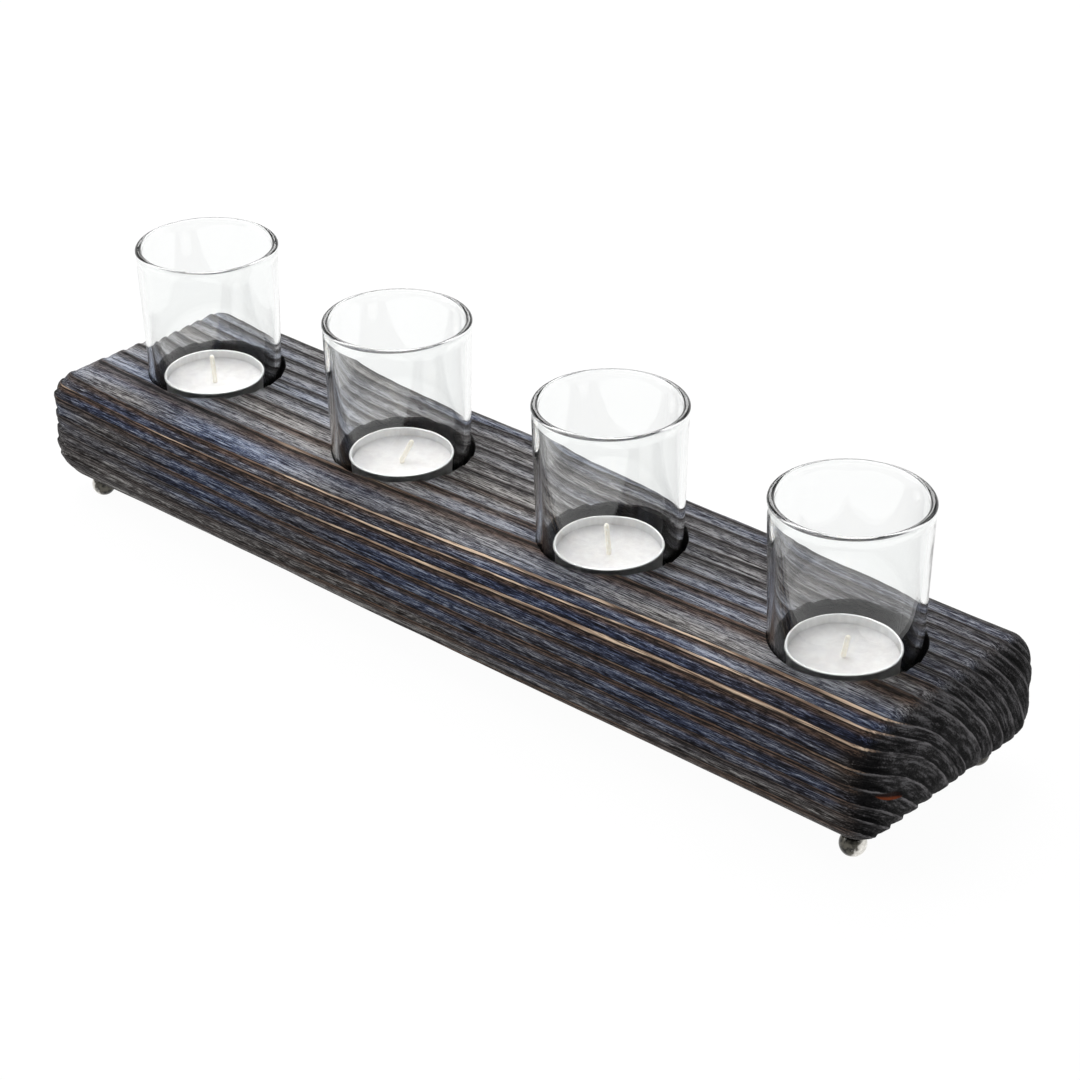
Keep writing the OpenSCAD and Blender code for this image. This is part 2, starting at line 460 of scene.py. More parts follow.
# How bare each growth ring's crest is at the left and at the right end of the block. Rings 2 to 5 come
# out on the front and rings 6 to 9 along the front top edge.
CREST_BARE = np.full((len(RING_RADII), 2), 0.75)
CREST_BARE[2:6] = (0.50, 0.45), (0.60, 0.50), (0.60, 0.50), (0.60, 0.58)
CREST_BARE[6:10] = (0.45, 0.90), (0.80, 0.85), (0.45, 1.50), (0.60, 0.60)
# The worn line along the front top edge, as (y, z)
EDGE_Y, EDGE_Z = -43, 46


def worn_amount(p, normal, number):
    """How much of the bare tan wood shows on the crests at each point."""
    top_edge = np.exp(-(((p[:, 1] - EDGE_Y) / 15) ** 2) - ((p[:, 2] - EDGE_Z) / 9) ** 2)
    front = 0.42 + 0.15 * smoothstep(24, 36, p[:, 2]) + 0.28 * np.exp(-((p[:, 0] / 80) ** 2))
    front *= smoothstep(0.4, 0.9, -normal[:, 1])
    top = smoothstep(0.4, 0.9, normal[:, 2]) * (0.15 + 0.75 * smoothstep(8, -40, p[:, 1]))
    left, right = CREST_BARE[np.round(number).astype(int)].T
    ring_share = left + (right - left) * smoothstep(-100, 70, p[:, 0])
    patchy = 0.72 + 0.45 * value_noise(p, (38, 5, 5), seed=31)
    patchy *= 0.35 + 0.65 * smoothstep(-190, -40, p[:, 0])
    amount = (top_edge + front + top) * ring_share * patchy
    return np.clip(amount * (1 - smoothstep(0.55, 0.90, np.abs(normal[:, 0]))), 0, 2)


def blue_amount(p, normal):
    """How blue rather than brownish grey the charred surface is at each point."""
    front = smoothstep(0.3, 0.8, -normal[:, 1]) * (0.15 + 0.55 * smoothstep(13, 26, p[:, 2]))
    front *= 1 - 0.25 * smoothstep(20, 90, p[:, 0]) - 0.5 * smoothstep(176, 188, p[:, 0])
    top = smoothstep(0.3, 0.8, normal[:, 2]) * (0.36 + 0.26 * smoothstep(5, -38, p[:, 1]))
    back = smoothstep(0.3, 0.8, normal[:, 1]) * 0.45
    top = top + 0.15 * smoothstep(120, 165, p[:, 0]) * smoothstep(0.2, 0.7, normal[:, 2])
    right = 0.80 + 0.20 * smoothstep(-190, -70, p[:, 0])
    patchy = 0.45 * value_noise(p, (52, 9, 9), seed=32)
    return np.clip(np.maximum.reduce([front, top, back]) * right + patchy, 0, 1)


def tone_and_painted_light(p, normal):
    """How much lighter, or below 0 darker, the charred surface is than elsewhere. Partly painted light:
    the top is lighter because it faces the lamps, the top and front are lighter towards the left and
    darker towards the right as the light falls off, and the front is lighter near its bottom as painted
    bounce light from the floor. Besides, the top and front are darker at the burnt right end, the top
    towards its back and its front, a narrow band along the front top edge, and the end faces towards the
    bottom.
    """
    top = 0.85 + 0.45 * smoothstep(60, -120, p[:, 0]) - 0.35 * smoothstep(10, 30, p[:, 1])
    top -= 0.60 * smoothstep(155, 185, p[:, 0]) + 0.60 * smoothstep(-24, -32, p[:, 1])
    front = 0.30 * smoothstep(18, 10, p[:, 2]) - 0.25 * smoothstep(-60, 120, p[:, 0])
    front -= 1.3 * smoothstep(178, 189, p[:, 0])
    edge = np.exp(-(((p[:, 1] - EDGE_Y) / 5) ** 2) - ((p[:, 2] - EDGE_Z) / 5) ** 2)
    on_top = smoothstep(0.3, 0.8, normal[:, 2])
    on_front = smoothstep(0.3, 0.8, -normal[:, 1])
    on_end = smoothstep(0.4, 0.8, np.abs(normal[:, 0])) * smoothstep(24, 11, p[:, 2])
    return on_top * top + on_front * front - 1.2 * edge - 1.0 * on_end


# ---------------------------------------------------------------- materials


# Sockets of the Mix node when it mixes colours
MIX_SHARE, MIX_A, MIX_B, MIX_RESULT = 0, 6, 7, 2


class Graph:
    """Short calls that add nodes to one material."""

    def __init__(self, name):
        self.material = bpy.data.materials.new(name)
        self.material.use_nodes = True
        self.nodes = self.material.node_tree.nodes
        self.links = self.material.node_tree.links
        self.shader = self.nodes["Principled BSDF"]
        self.place = self.add("ShaderNodeTexCoord").outputs["Object"]

    def add(self, kind, inputs=(), **settings):
        node = self.nodes.new(kind)
        for key, value in settings.items():
            setattr(node, key, value)
        for key, value in dict(inputs).items():
            self.feed(node.inputs[key], value)
        return node

    def feed(self, socket, value):
        if isinstance(value, bpy.types.NodeSocket):
            self.links.new(value, socket)
        else:
            socket.default_value = value

    def set(self, **values):
        """Feeds the shader's own sockets; an underscore stands for a space."""
        for key, value in values.items():
            self.feed(self.shader.inputs[key.replace("_", " ")], value)

    def math(self, operation, a, b=0.0, clamp=False):
        node = self.add("ShaderNodeMath", {0: a, 1: b}, operation=operation, use_clamp=clamp)
        return node.outputs[0]

    def blend(self, *parts):
        """Sum of values, each given with its weight."""
        scaled = [self.math("MULTIPLY", value, weight) for value, weight in parts]
        total = scaled[0]
        for part in scaled[1:]:
            total = self.math("ADD", total, part)
        return total

    def noise(self, cell_mm, detail=2.0, rough=0.5, offset=0.0):
        """Noise from 0 to 1 whose cells have the given size in mm along X, Y and Z."""
        scale = [1 / (size * MM) for size in cell_mm]
        mapping = self.add("ShaderNodeMapping", {"Vector": self.place, "Scale": scale})
        mapping.inputs["Location"].default_value = (offset, offset, offset)
        node = self.add(
            "ShaderNodeTexNoise",
            {"Vector": mapping.outputs[0], "Scale": 1.0, "Detail": detail, "Roughness": rough},
        )
        return node.outputs["Fac"]

    def spread(self, value, low, high, to_low=0.0, to_high=1.0):
        """Maps low..high to to_low..to_high, smoothly and clamped."""
        node = self.add(
            "ShaderNodeMapRange",
            {"Value": value, "From Min": low, "From Max": high, "To Min": to_low, "To Max": to_high},
            interpolation_type="SMOOTHSTEP",
        )
        return node.outputs[0]

    def mix(self, share, a, b):
        node = self.add("ShaderNodeMix", data_type="RGBA")
        for socket, value in ((MIX_SHARE, share), (MIX_A, a), (MIX_B, b)):
            self.feed(node.inputs[socket], value)
        return node.outputs[MIX_RESULT]

    def ramp(self, value, stops, colours):
        """Colour along value, with one colour at each stop."""
        node = self.add("ShaderNodeValToRGB", {"Fac": value})
        elements = node.color_ramp.elements
        while len(elements) < len(stops):
            elements.new(1.0)
        for element, position, colour in zip(elements, stops, colours):
            element.position = position
            element.color = colour
        return node.outputs[0]

    def bump(self, height, distance_mm, strength):
        inputs = {"Height": height, "Distance": distance_mm * MM, "Strength": strength}
        return self.add("ShaderNodeBump", inputs).outputs[0]

    def attribute(self, name):
        return self.add("ShaderNodeAttribute", attribute_name=name).outputs["Fac"]


def srgb(red, green, blue):
    """A colour given as 0 to 255, turned into the linear values that nodes use."""
    values = [v / 255 for v in (red, green, blue)]
    linear = [v / 12.92 if v <= 0.04045 else ((v + 0.055) / 1.055) ** 2.4 for v in values]
    return (*linear, 1.0)


def grey(value):
    return (value, value, value, 1.0)


# Fibre brightness at which each colour of the charred sides and of the end grain stands
SIDE_STOPS = (0.41, 0.47, 0.53, 0.60)
BLUE_CHAR = (srgb(10, 12, 20), srgb(32, 36, 53), srgb(70, 79, 103), srgb(143, 151, 166))
SMOKY_CHAR = (srgb(16, 13, 12), srgb(48, 44, 43), srgb(88, 85, 84), srgb(152, 150, 148))
END_STOPS = (0.42, 0.50, 0.60)
END_CHAR = (srgb(5, 5, 6), srgb(32, 31, 32), srgb(88, 87, 89))
# How far the pale attribute, partly painted light and partly the char's own tone, moves a colour along
# its ramp
PALE_SHIFT = 0.05


def early_wood(g, thread, fine, streak, across):
    """Char between the crests: blue in places and smoky in others, lighter along single fibres."""
    fibre = g.blend((thread, 0.52), (fine, 0.28), (streak, 0.20))
    fibre = g.math("ADD", fibre, g.spread(across, 0.40, 0.90, 0.012, -0.030))
    # The pale attribute paints light: lighter on the top and towards the left, darker towards the right.
    fibre = g.math("ADD", fibre, g.math("MULTIPLY", g.attribute("pale"), PALE_SHIFT))
    blue = g.ramp(fibre, SIDE_STOPS, BLUE_CHAR)
    smoky = g.ramp(fibre, SIDE_STOPS, SMOKY_CHAR)
    return g.mix(g.spread(g.attribute("blue"), 0.15, 0.95), smoky, blue)


def late_wood(g, thread, worn):
    """The hard outer part of each ring, warmer where the char is worn thin."""
    dull = g.mix(g.spread(thread, 0.38, 0.64), srgb(34, 32, 33), srgb(100, 97, 97))
    warm = g.mix(g.spread(thread, 0.38, 0.64), srgb(22, 16, 13), srgb(100, 81, 69))
    return g.mix(g.spread(worn, 0.05, 0.30), dull, warm)


def bare_wood(g, fine, streak, worn):
    """A crest that is worn bare: brown where it is only half bare, else sandy."""
    brown = g.mix(g.spread(fine, 0.35, 0.62), srgb(62, 46, 38), srgb(126, 102, 86))
    sandy = g.mix(g.spread(streak, 0.38, 0.62), srgb(106, 86, 72), srgb(198, 176, 153))
    return g.mix(g.spread(worn, 0.30, 0.62), brown, sandy)


def end_grain(g, ring, across, fine, speck):
    """The charred end faces, banded along the growth rings, with the resin pocket. Light is painted on
    the rings: shading across each band, a highlight on each crest and shadow in each groove.
    """
    along = g.math("MULTIPLY", g.attribute("turn"), 9.0)
    polar = g.add("ShaderNodeCombineXYZ", {"X": g.math("MULTIPLY", ring, 5.0), "Y": along})
    bands = g.add(
        "ShaderNodeTexNoise",
        {"Vector": polar.outputs[0], "Scale": 1.0, "Detail": 3.0, "Roughness": 0.65},
    ).outputs["Fac"]
    grain = g.blend((speck, 0.16), (fine, 0.22), (bands, 0.62))
    # The pale attribute carries its painted light and its darkening onto the end grain too.
    grain = g.math("ADD", grain, g.math("MULTIPLY", g.attribute("pale"), PALE_SHIFT))
    # Painted shading: each band goes from darker after its groove to lighter at its crest.
    grain = g.math("ADD", grain, g.spread(across, 0.10, 0.90, -0.02, 0.02))
    coal = g.ramp(grain, END_STOPS, END_CHAR)
    # Painted highlight along each crest.
    crest_highlight = g.math("MULTIPLY", g.spread(across, 0.78, 0.95), g.spread(bands, 0.35, 0.65, 0.1, 0.8))
    coal = g.mix(crest_highlight, coal, srgb(116, 114, 116))
    # Painted shadow in each groove.
    groove_shadow = g.math("MULTIPLY", g.spread(across, 0.34, 0.06), g.spread(bands, 0.35, 0.65, 1.0, 0.6))
    coal = g.mix(groove_shadow, coal, srgb(4, 4, 5))
    share, resin = resin_pocket(g)
    return g.mix(share, coal, resin)


def wood_material():
    g = Graph("charred_wood")
    thread = g.noise((4.5, 0.36, 0.36), detail=3.0, rough=0.75, offset=1.3)
    fine = g.noise((16, 0.6, 0.6), detail=4.0, rough=0.7)
    streak = g.noise((40, 1.7, 1.7), detail=3.0, rough=0.6, offset=3.1)
    crevice = g.noise((30, 0.5, 0.5), detail=2.0, rough=0.5, offset=7.7)
    speck = g.noise((0.7, 0.45, 0.45), detail=2.0, rough=0.6, offset=5.0)
    ring = g.attribute("ring")
    worn = g.attribute("worn")
    wobble = g.math("MULTIPLY", g.math("SUBTRACT", g.math("ADD", streak, fine), 1.0), 0.10)
    across = g.math("FRACT", g.math("ADD", ring, wobble))

    early = early_wood(g, thread, fine, streak, across)
    late = late_wood(g, thread, worn)
    wood = g.mix(g.math("MULTIPLY", g.spread(across, 0.45, 0.78), 0.88), early, late)

    # The crest is bare where it is worn. Outside it the groove is painted black, its char darkened with
    # painted shade; inside it a dark line is painted, partly the charred late wood and partly painted
    # shade under the crest.
    reach = g.math("ADD", across, g.math("MULTIPLY", worn, 0.05))
    crest = g.math("MULTIPLY", g.spread(reach, 0.87, 0.985), g.spread(across, 0.985, 1.0, 1.0, 0.3))
    bare = g.math("MULTIPLY", crest, g.math("MULTIPLY", worn, g.spread(fine, 0.32, 0.52)))
    tan = bare_wood(g, fine, streak, worn)
    wood = g.mix(g.math("MULTIPLY", bare, 1.3, clamp=True), wood, tan)
    # Painted shade in the groove just outside each crest, over its char.
    groove = g.math("MULTIPLY", g.spread(across, 0.20, 0.03), g.spread(fine, 0.30, 0.55, 0.9, 0.5))
    wood = g.mix(groove, wood, srgb(10, 8, 8))
    # Dark line under each crest: partly charred late wood, partly painted shade.
    under = g.math("MULTIPLY", g.spread(reach, 0.80, 0.88), g.spread(reach, 0.96, 0.92))
    wood = g.mix(g.math("MULTIPLY", under, 0.85), wood, srgb(9, 8, 9))
    wood = g.mix(g.math("MULTIPLY", g.spread(crevice, 0.43, 0.36), 0.8), wood, srgb(13, 11, 12))

    coal = end_grain(g, ring, across, fine, speck)
    on_end = g.spread(g.attribute("end"), 0.22, 0.68)
    charred_end = g.math("MULTIPLY", on_end, g.spread(bare, 0.1, 0.7, 1.0, 0.25))
    wood = g.mix(charred_end, wood, coal)
    wall = g.mix(g.spread(speck, 0.4, 0.6), srgb(9, 8, 8), srgb(24, 22, 22))
    wood = g.mix(g.attribute("wall"), wood, wall)

    g.set(Base_Color=wood, Specular_IOR_Level=0.06)
    g.set(Roughness=g.spread(fine, 0.3, 0.7, 0.80, 0.55))
    g.set(Normal=g.bump(g.blend((thread, 0.5), (fine, 0.5)), 0.8, 0.9))
    return g.material


def resin_pocket(g):
    """Share of the resin pocket at each point, 0 to 1, and its colour, amber along its lower edge."""
    lens = g.add("ShaderNodeMapping", {"Vector": g.place}, vector_type="TEXTURE")
    lens.inputs["Location"].default_value = [v * MM for v in RESIN_MIDDLE]
    lens.inputs["Rotation"].default_value = (RESIN_SLOPE, 0, 0)
    lens.inputs["Scale"].default_value = (RESIN_THROUGH * MM, RESIN_HALF * MM, RESIN_SLIM * MM)
    away = g.add("ShaderNodeVectorMath", {0: lens.outputs[0]}, operation="LENGTH").outputs["Value"]
    up = g.add("ShaderNodeSeparateXYZ", {0: lens.outputs[0]}).outputs["Z"]
    colour = g.mix(g.spread(up, 0.0, -0.7), srgb(26, 9, 6), srgb(118, 56, 28))
    return g.spread(away, 1.05, 0.85), colour


def glass_material():
    g = Graph("clear_glass")
    swirl = g.noise((16, 16, 22), detail=2.0, rough=0.4)
    g.set(Base_Color=(0.961, 0.970, 0.966, 1.0), IOR=1.5, Transmission_Weight=1.0)
    g.set(Roughness=g.spread(g.noise((4, 4, 9), detail=3.0), 0.35, 0.75, 0.0, 0.03))
    g.set(Normal=g.bump(swirl, 0.35, 0.35))
    return g.material


def foil_material():
    g = Graph("cup_foil")
    crinkle = g.noise((2.4, 2.4, 5.0), detail=3.0, rough=0.6)
    g.set(Base_Color=g.mix(g.spread(crinkle, 0.3, 0.7), grey(0.78), grey(0.88)), Metallic=1.0)
    g.set(Roughness=g.spread(crinkle, 0.3, 0.7, 0.50, 0.66))
    g.set(Normal=g.bump(crinkle, 0.12, 0.5))
    return g.material


def wax_material():
    g = Graph("candle_wax")
    mottle = g.noise((3.2, 3.2, 3.2), detail=4.0, rough=0.6)
    grain = g.noise((0.5, 0.5, 0.5), detail=2.0, rough=0.5)
    g.set(Base_Color=g.mix(g.spread(mottle, 0.3, 0.7), srgb(232, 229, 229), srgb(243, 241, 240)))
    g.set(Subsurface_Weight=0.25, Subsurface_Scale=0.004, Subsurface_Radius=(1.0, 0.9, 0.75))
    g.set(Roughness=g.spread(grain, 0.3, 0.7, 0.42, 0.60))
    g.set(Normal=g.bump(mottle, 0.18, 0.5))
    return g.material


def wick_material():
    g = Graph("cotton_wick")
    thread = g.noise((0.35, 0.35, 0.9), detail=3.0, rough=0.6)
    g.set(Base_Color=g.mix(g.spread(thread, 0.35, 0.65), srgb(244, 238, 222), srgb(255, 253, 247)))
    g.set(Roughness=g.spread(thread, 0.3, 0.7, 0.95, 0.80))
    # Painted light: a faint cream glow that lifts the wick's shaded side.
    g.set(Emission_Color=srgb(255, 248, 232), Emission_Strength=0.16)
    g.set(Normal=g.bump(thread, 0.15, 0.8))
    return g.material


def nickel_material():
    """Polished nickel, with a painted dark reflection on one side of each foot and over its upper part.
    """
    g = Graph("polished_nickel")
    smear = g.noise((1.6, 1.6, 1.6), detail=4.0, rough=0.6)
    clean = g.mix(g.spread(smear, 0.35, 0.65), (0.60, 0.58, 0.54, 1.0), (0.92, 0.90, 0.85, 1.0))
    dark = g.mix(g.spread(smear, 0.35, 0.65), grey(0.02), (0.10, 0.095, 0.08, 1.0))
    # Painted reflection: darker on one side and on the top of each ball, where it would mirror the dim
    # studio.
    edge = g.math("ADD", g.attribute("dark_reflection"), g.math("MULTIPLY", g.math("SUBTRACT", smear, 0.5), 1.2))
    g.set(Base_Color=g.mix(g.spread(edge, 0.28, 0.70), clean, dark), Metallic=1.0)
    g.set(Roughness=g.spread(smear, 0.35, 0.65, 0.12, 0.26))
    g.set(Normal=g.bump(g.noise((0.9, 0.9, 0.9), detail=2.0), 0.05, 0.5))
    return g.material


def tin_material():
    g = Graph("tinned_steel")
    smear = g.noise((1.8, 1.8, 1.8), detail=4.0, rough=0.6)
    g.set(Base_Color=g.mix(g.spread(smear, 0.35, 0.65), grey(0.40), grey(0.55)), Metallic=1.0)
    g.set(Roughness=g.spread(smear, 0.35, 0.65, 0.28, 0.45))
    g.set(Normal=g.bump(g.noise((0.4, 0.4, 0.4), detail=2.0), 0.03, 0.4))
    return g.material


# ---------------------------------------------------------------- glasses

GLASS_WALL = 2.2
GLASS_FLOOR = 6.0
BASE_R = 24.3
BEAD_R = 0.57 * GLASS_WALL
HEEL_R = 2.0
FILLET_R = 2.5
FILLET_Z = GLASS_FLOOR + FILLET_R
PUNT_R, PUNT_H = 16.0, 1.0
FLOOR_RING_R = 12.0
GLASS_SEGMENTS, GLASS_SEED = 160, 40
# How far the inside wanders, and the size of its swells around and up the glass
WANDER, WANDER_CELL = 0.09, (17, 17, 24)


def make_glass(i, material):
    low, high = GLASS_LOW[i], GLASS_HIGH[i]
    rim_r = (high[0] - low[0]) / 2
    height = high[2] - low[2]
    bead_z = height - BEAD_R
    bead_mid = rim_r - BEAD_R

    def outer(z):
        return BASE_R + (bead_mid + GLASS_WALL / 2 - BASE_R) * z / bead_z

    def inner(z):
        return outer(z) - GLASS_WALL

    join = math.degrees(math.acos(GLASS_WALL / 2 / BEAD_R))
    join_z = bead_z - BEAD_R * math.sin(math.radians(join))
    profile = [(0, PUNT_H), (PUNT_R * 0.5, PUNT_H * 0.72), (PUNT_R, 0)]
    profile += arc((BASE_R - HEEL_R, HEEL_R), HEEL_R, -90, 0, 8)
    profile += line((outer(HEEL_R), HEEL_R), (outer(join_z), join_z), 24)
    profile += arc((bead_mid, bead_z), BEAD_R, -join, 180 + join, 20)
    profile += line((inner(join_z), join_z), (inner(FILLET_Z), FILLET_Z), 24)
    profile += arc((inner(FILLET_Z) - FILLET_R, FILLET_Z), FILLET_R, 0, -90, 8)
    profile += [(FLOOR_RING_R, GLASS_FLOOR), (0, GLASS_FLOOR)]

    def uneven(radius, height_mm, angle):
        """Pressed glass isn't quite even: the inside wanders by a few hundredths of a mm."""
        around = np.broadcast_to(angle, radius.shape)
        spot = np.stack([radius * np.cos(around), radius * np.sin(around), height_mm], axis=-1)
        wander = value_noise(spot.reshape(-1, 3), WANDER_CELL, GLASS_SEED + i).reshape(radius.shape)
        is_inner = radius < outer(height_mm) - GLASS_WALL * 0.6
        on_wall = (height_mm > FILLET_Z) & (height_mm < join_z)
        share = smoothstep(FILLET_Z, FILLET_Z + 8, height_mm) * smoothstep(join_z, join_z - 6, height_mm)
        return radius + WANDER * wander * share * (is_inner & on_wall), height_mm

    centre = (*GLASS_XY[i], low[2])
    return lathe(f"glass_cup_{i}", profile, centre, material, GLASS_SEGMENTS, uneven)


# ---------------------------------------------------------------- tealights

FOIL = 0.25
ROLL_R, ROLL_START, ROLL_END = 0.5, -60, 170
CUP_CHAMFER = 0.8
BASE_SET_IN = 1.1
CUP_RING_R = 6.0
CUP_SEGMENTS = 240
FLUTES, FLUTE_DEPTH = 60, 0.035
# Clearance of the wax from its cup, at the side and below
WAX_GAP, WAX_LIFT = 0.12, 0.05
# Height of the wax that climbs its wall, depth of its dish and depth of the dip around the wick
MENISCUS, DISH, WICK_DIP = 0.75, 0.35, 0.25
WAX_SEGMENTS, WAX_SEEDS = 128, (50, 60)
WICK_R, WICK_SIDES, WICK_STEPS = 1.0, 24, 90
BRAID_TWIST, BRAID_FILL = 2.6, 0.93
# How far above the wax a wick bends, over what length, and how far its tip stays inside the CAD's
BEND_LIFT, BEND_SPREAD, TIP_SHORT = 0.5, 1.6, 0.35
# Each wick's lean in degrees, the heading of that lean, and its length above the wax
WICK_POSES = ((3, 222, 10.5), (27, 30, 9.5), (4, 222, 11), (20, -30, 9))


def cup_measures(i):
    """Middle of a cup's underside, its radius and its height."""
    low, high = box_mm(f"tealight_cup_{i}")
    middle = (low + high) / 2
    return np.array([middle[0], middle[1], low[2]]), (high[0] - low[0]) / 2, high[2] - low[2]


def make_cup(i, material):
    centre, radius, height = cup_measures(i)
    base_r, top_r = radius - BASE_SET_IN, radius - ROLL_R
    roll_z = height - ROLL_R

    def wall(z):
        return base_r + (top_r - base_r) * z / height

    heel = (wall(CUP_CHAMFER), CUP_CHAMFER)
    inner_heel = (wall(CUP_CHAMFER) - FOIL, CUP_CHAMFER)
    profile = [(0, 0.0), (CUP_RING_R, 0.0), (base_r - CUP_CHAMFER, 0.0), heel]
    profile += line(heel, (wall(roll_z - 0.3), roll_z - 0.3), 12)
    profile += arc((radius - ROLL_R, roll_z), ROLL_R, ROLL_START, ROLL_END, 10)
    profile += line((wall(roll_z) - FOIL, roll_z - 0.1), inner_heel, 12)
    profile += [inner_heel, (base_r - CUP_CHAMFER, FOIL), (CUP_RING_R, FOIL), (0, FOIL)]

    def pressed(ring_radius, ring_height_mm, angle):
        """Thin foil is never quite round, and its wall has faint pressed flutes."""
        share = smoothstep(1.0, 4.0, ring_height_mm) * smoothstep(5.0, 12.0, ring_radius)
        upper = smoothstep(height, height - 3.0, ring_height_mm)
        flutes = FLUTE_DEPTH * np.cos(FLUTES * angle) * upper
        bent = -0.06 + 0.05 * np.sin(3 * angle + 1.7 * i) + 0.03 * np.sin(7 * angle + i)
        return ring_radius + share * (flutes + bent), ring_height_mm

    return lathe(f"foil_cup_{i}", profile, centre, material, CUP_SEGMENTS, pressed)


def make_wax(i, material):
    centre, _, _ = cup_measures(i)
    low, high = box_mm(f"tealight_wax_{i}")
    radius = (high[0] - low[0]) / 2 - WAX_GAP
    top = high[2] - centre[2]
    bottom_r = radius - CUP_CHAMFER
    steps = np.linspace(radius, 0, 40)
    meniscus = MENISCUS * np.exp(-(radius - steps) / 0.7)
    dish = -DISH * (1 - (steps / radius) ** 2) - WICK_DIP * np.exp(-((steps / 2.6) ** 2))
    heel = (bottom_r - 0.2, CUP_CHAMFER + 0.2)
    profile = [(0, FOIL + WAX_LIFT), (bottom_r - 1.0, FOIL + WAX_LIFT), heel]
    profile += line(heel, (radius, top - 0.2), 6)
    profile += list(zip(steps, top + dish + meniscus))

    def settled(ring_radius, ring_height_mm, angle):
        """Poured wax sets with a slightly lumpy surface."""
        around = np.broadcast_to(angle, ring_radius.shape)
        spot = [ring_radius * np.cos(around), ring_radius * np.sin(around), 0 * around]
        spot = np.stack(spot, axis=-1).reshape(-1, 3)
        lumps = value_noise(spot, (6, 6, 6), WAX_SEEDS[0] + i)
        lumps += 0.5 * value_noise(spot, (2.5, 2.5, 2.5), WAX_SEEDS[1] + i)
        upper = ring_height_mm > top - 0.7
        lift = 0.07 * lumps.reshape(ring_radius.shape) * upper
        return ring_radius, ring_height_mm + lift

    return lathe(f"wax_{i}", profile, centre, material, WAX_SEGMENTS, settled)


def make_wick(i, material):
    """A braided cotton cord: upright in the wax, then leaning, with a blunt frayed tip."""
    low, _ = box_mm(f"wick_{i}")
    wax_top = box_mm(f"tealight_wax_{i}")[1][2]
    lean, heading, length = WICK_POSES[i - 1]
    lean, heading = math.radians(lean), math.radians(heading)
    x, y, _ = cup_measures(i)[0]
    base = np.array([x, y, low[2] + 0.02])
    bend = np.array([x, y, wax_top + BEND_LIFT])
    flat = math.sin(lean)
    aim = np.array([flat * math.cos(heading), flat * math.sin(heading), math.cos(lean)])
    tip = bend + aim * (length - TIP_SHORT)
    along = np.linspace(0, 1, WICK_STEPS)
    rise = np.linalg.norm(bend - base)
    total = rise + length
    curve = []
    for t in along * total:
        straight = base + np.array([0, 0, t])
        leaning = bend + aim * (t - rise)
        share = smoothstep(rise - BEND_SPREAD, rise + BEND_SPREAD, t)
        curve.append(straight * (1 - share) + leaning * share)
    curve = np.array(curve)
    curve += (tip - curve[-1]) * smoothstep(0.8, 1.0, along)[:, None]
    tangent = unit(np.gradient(curve, axis=0))
    side = unit(np.cross(tangent, [0.0, 1.0, 0.0]))
    other = np.cross(tangent, side)
    angle = np.arange(WICK_SIDES) * TAU / WICK_SIDES
    run = BRAID_TWIST * (np.arange(len(curve))[:, None] * total / len(curve))
    braid = np.abs(np.sin(2 * angle[None] + run)) * np.abs(np.sin(2 * angle[None] - run))
    tip_share = np.sqrt(np.clip((1 - along) / 0.03, 0.05, 1))[:, None]
    thick = BRAID_FILL * WICK_R * (0.80 + 0.20 * np.sqrt(braid)) * (0.35 + 0.65 * tip_share)
    points = (
        curve[:, None]
        + thick[..., None] * (np.cos(angle)[None, :, None] * side[:, None])
        + thick[..., None] * (np.sin(angle)[None, :, None] * other[:, None])
    ).reshape(-1, 3)
    faces = [face[::-1] for face in grid_faces(len(curve), WICK_SIDES, wrap=True)]
    faces.append(tuple(range(WICK_SIDES)))
    faces.append(tuple(len(points) - 1 - k for k in range(WICK_SIDES)))
    return make_object(f"braided_wick_{i}", points, faces, material)


# ---------------------------------------------------------------- feet

LAND_R = 1.5
FOOT_NECK_R = 2.4
FOOT_SEGMENTS = 96
# The heading, in degrees, of the side of each foot with the painted dark reflection, and how far that
# painted reflection reaches
PAINTED_REFLECTION = {
    "foot_front_left": (20, 0.72),
    "foot_front_right": (230, 0.50),
    "foot_back_left": (140, 0.50),
    "foot_back_right": (300, 0.85),
}


def make_foot(node, material):
    """A turned ball with a small flat to stand on and a neck that goes into the block."""
    low, high = box_mm(node)
    radius = (high[0] - low[0]) / 2
    centre = (low + high) / 2
    ball_z = math.sqrt(radius**2 - LAND_R**2)
    start = -math.degrees(math.acos(LAND_R / radius))
    end = math.degrees(math.acos(FOOT_NECK_R / radius))
    profile = [(0, 0)] + arc((0, ball_z), radius, start, end, 48)
    profile += [(FOOT_NECK_R, high[2]), (0, high[2])]
    name = node.replace("foot", "ball_foot")
    foot = lathe(name, profile, (centre[0], centre[1], low[2]), material, FOOT_SEGMENTS)
    points = np.array([vertex.co for vertex in foot.data.vertices]) / MM
    heading, amount = PAINTED_REFLECTION[node]
    heading = math.radians(heading)
    east, north = (points[:, :2] - centre[:2]).T
    aside = east * math.cos(heading) + north * math.sin(heading)
    above = points[:, 2] - low[2] - ball_z
    # Painted reflection: darker towards the heading and upwards, lighter low down where the floor would
    # show.
    add_attribute(foot, "dark_reflection", amount + (0.8 * aside + 0.5 * above) / radius)
    return foot


# ---------------------------------------------------------------- build


def settle(piece, body, slot, *nodes):
    """Makes a piece ride on its body and stand for its CAD nodes, which it hides. The slot is not used.
    """
    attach(piece, body)
    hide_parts(*nodes)


wood = wood_material()
glass = glass_material()
foil = foil_material()
wax = wax_material()
cotton = wick_material()
nickel = nickel_material()
tin = tin_material()

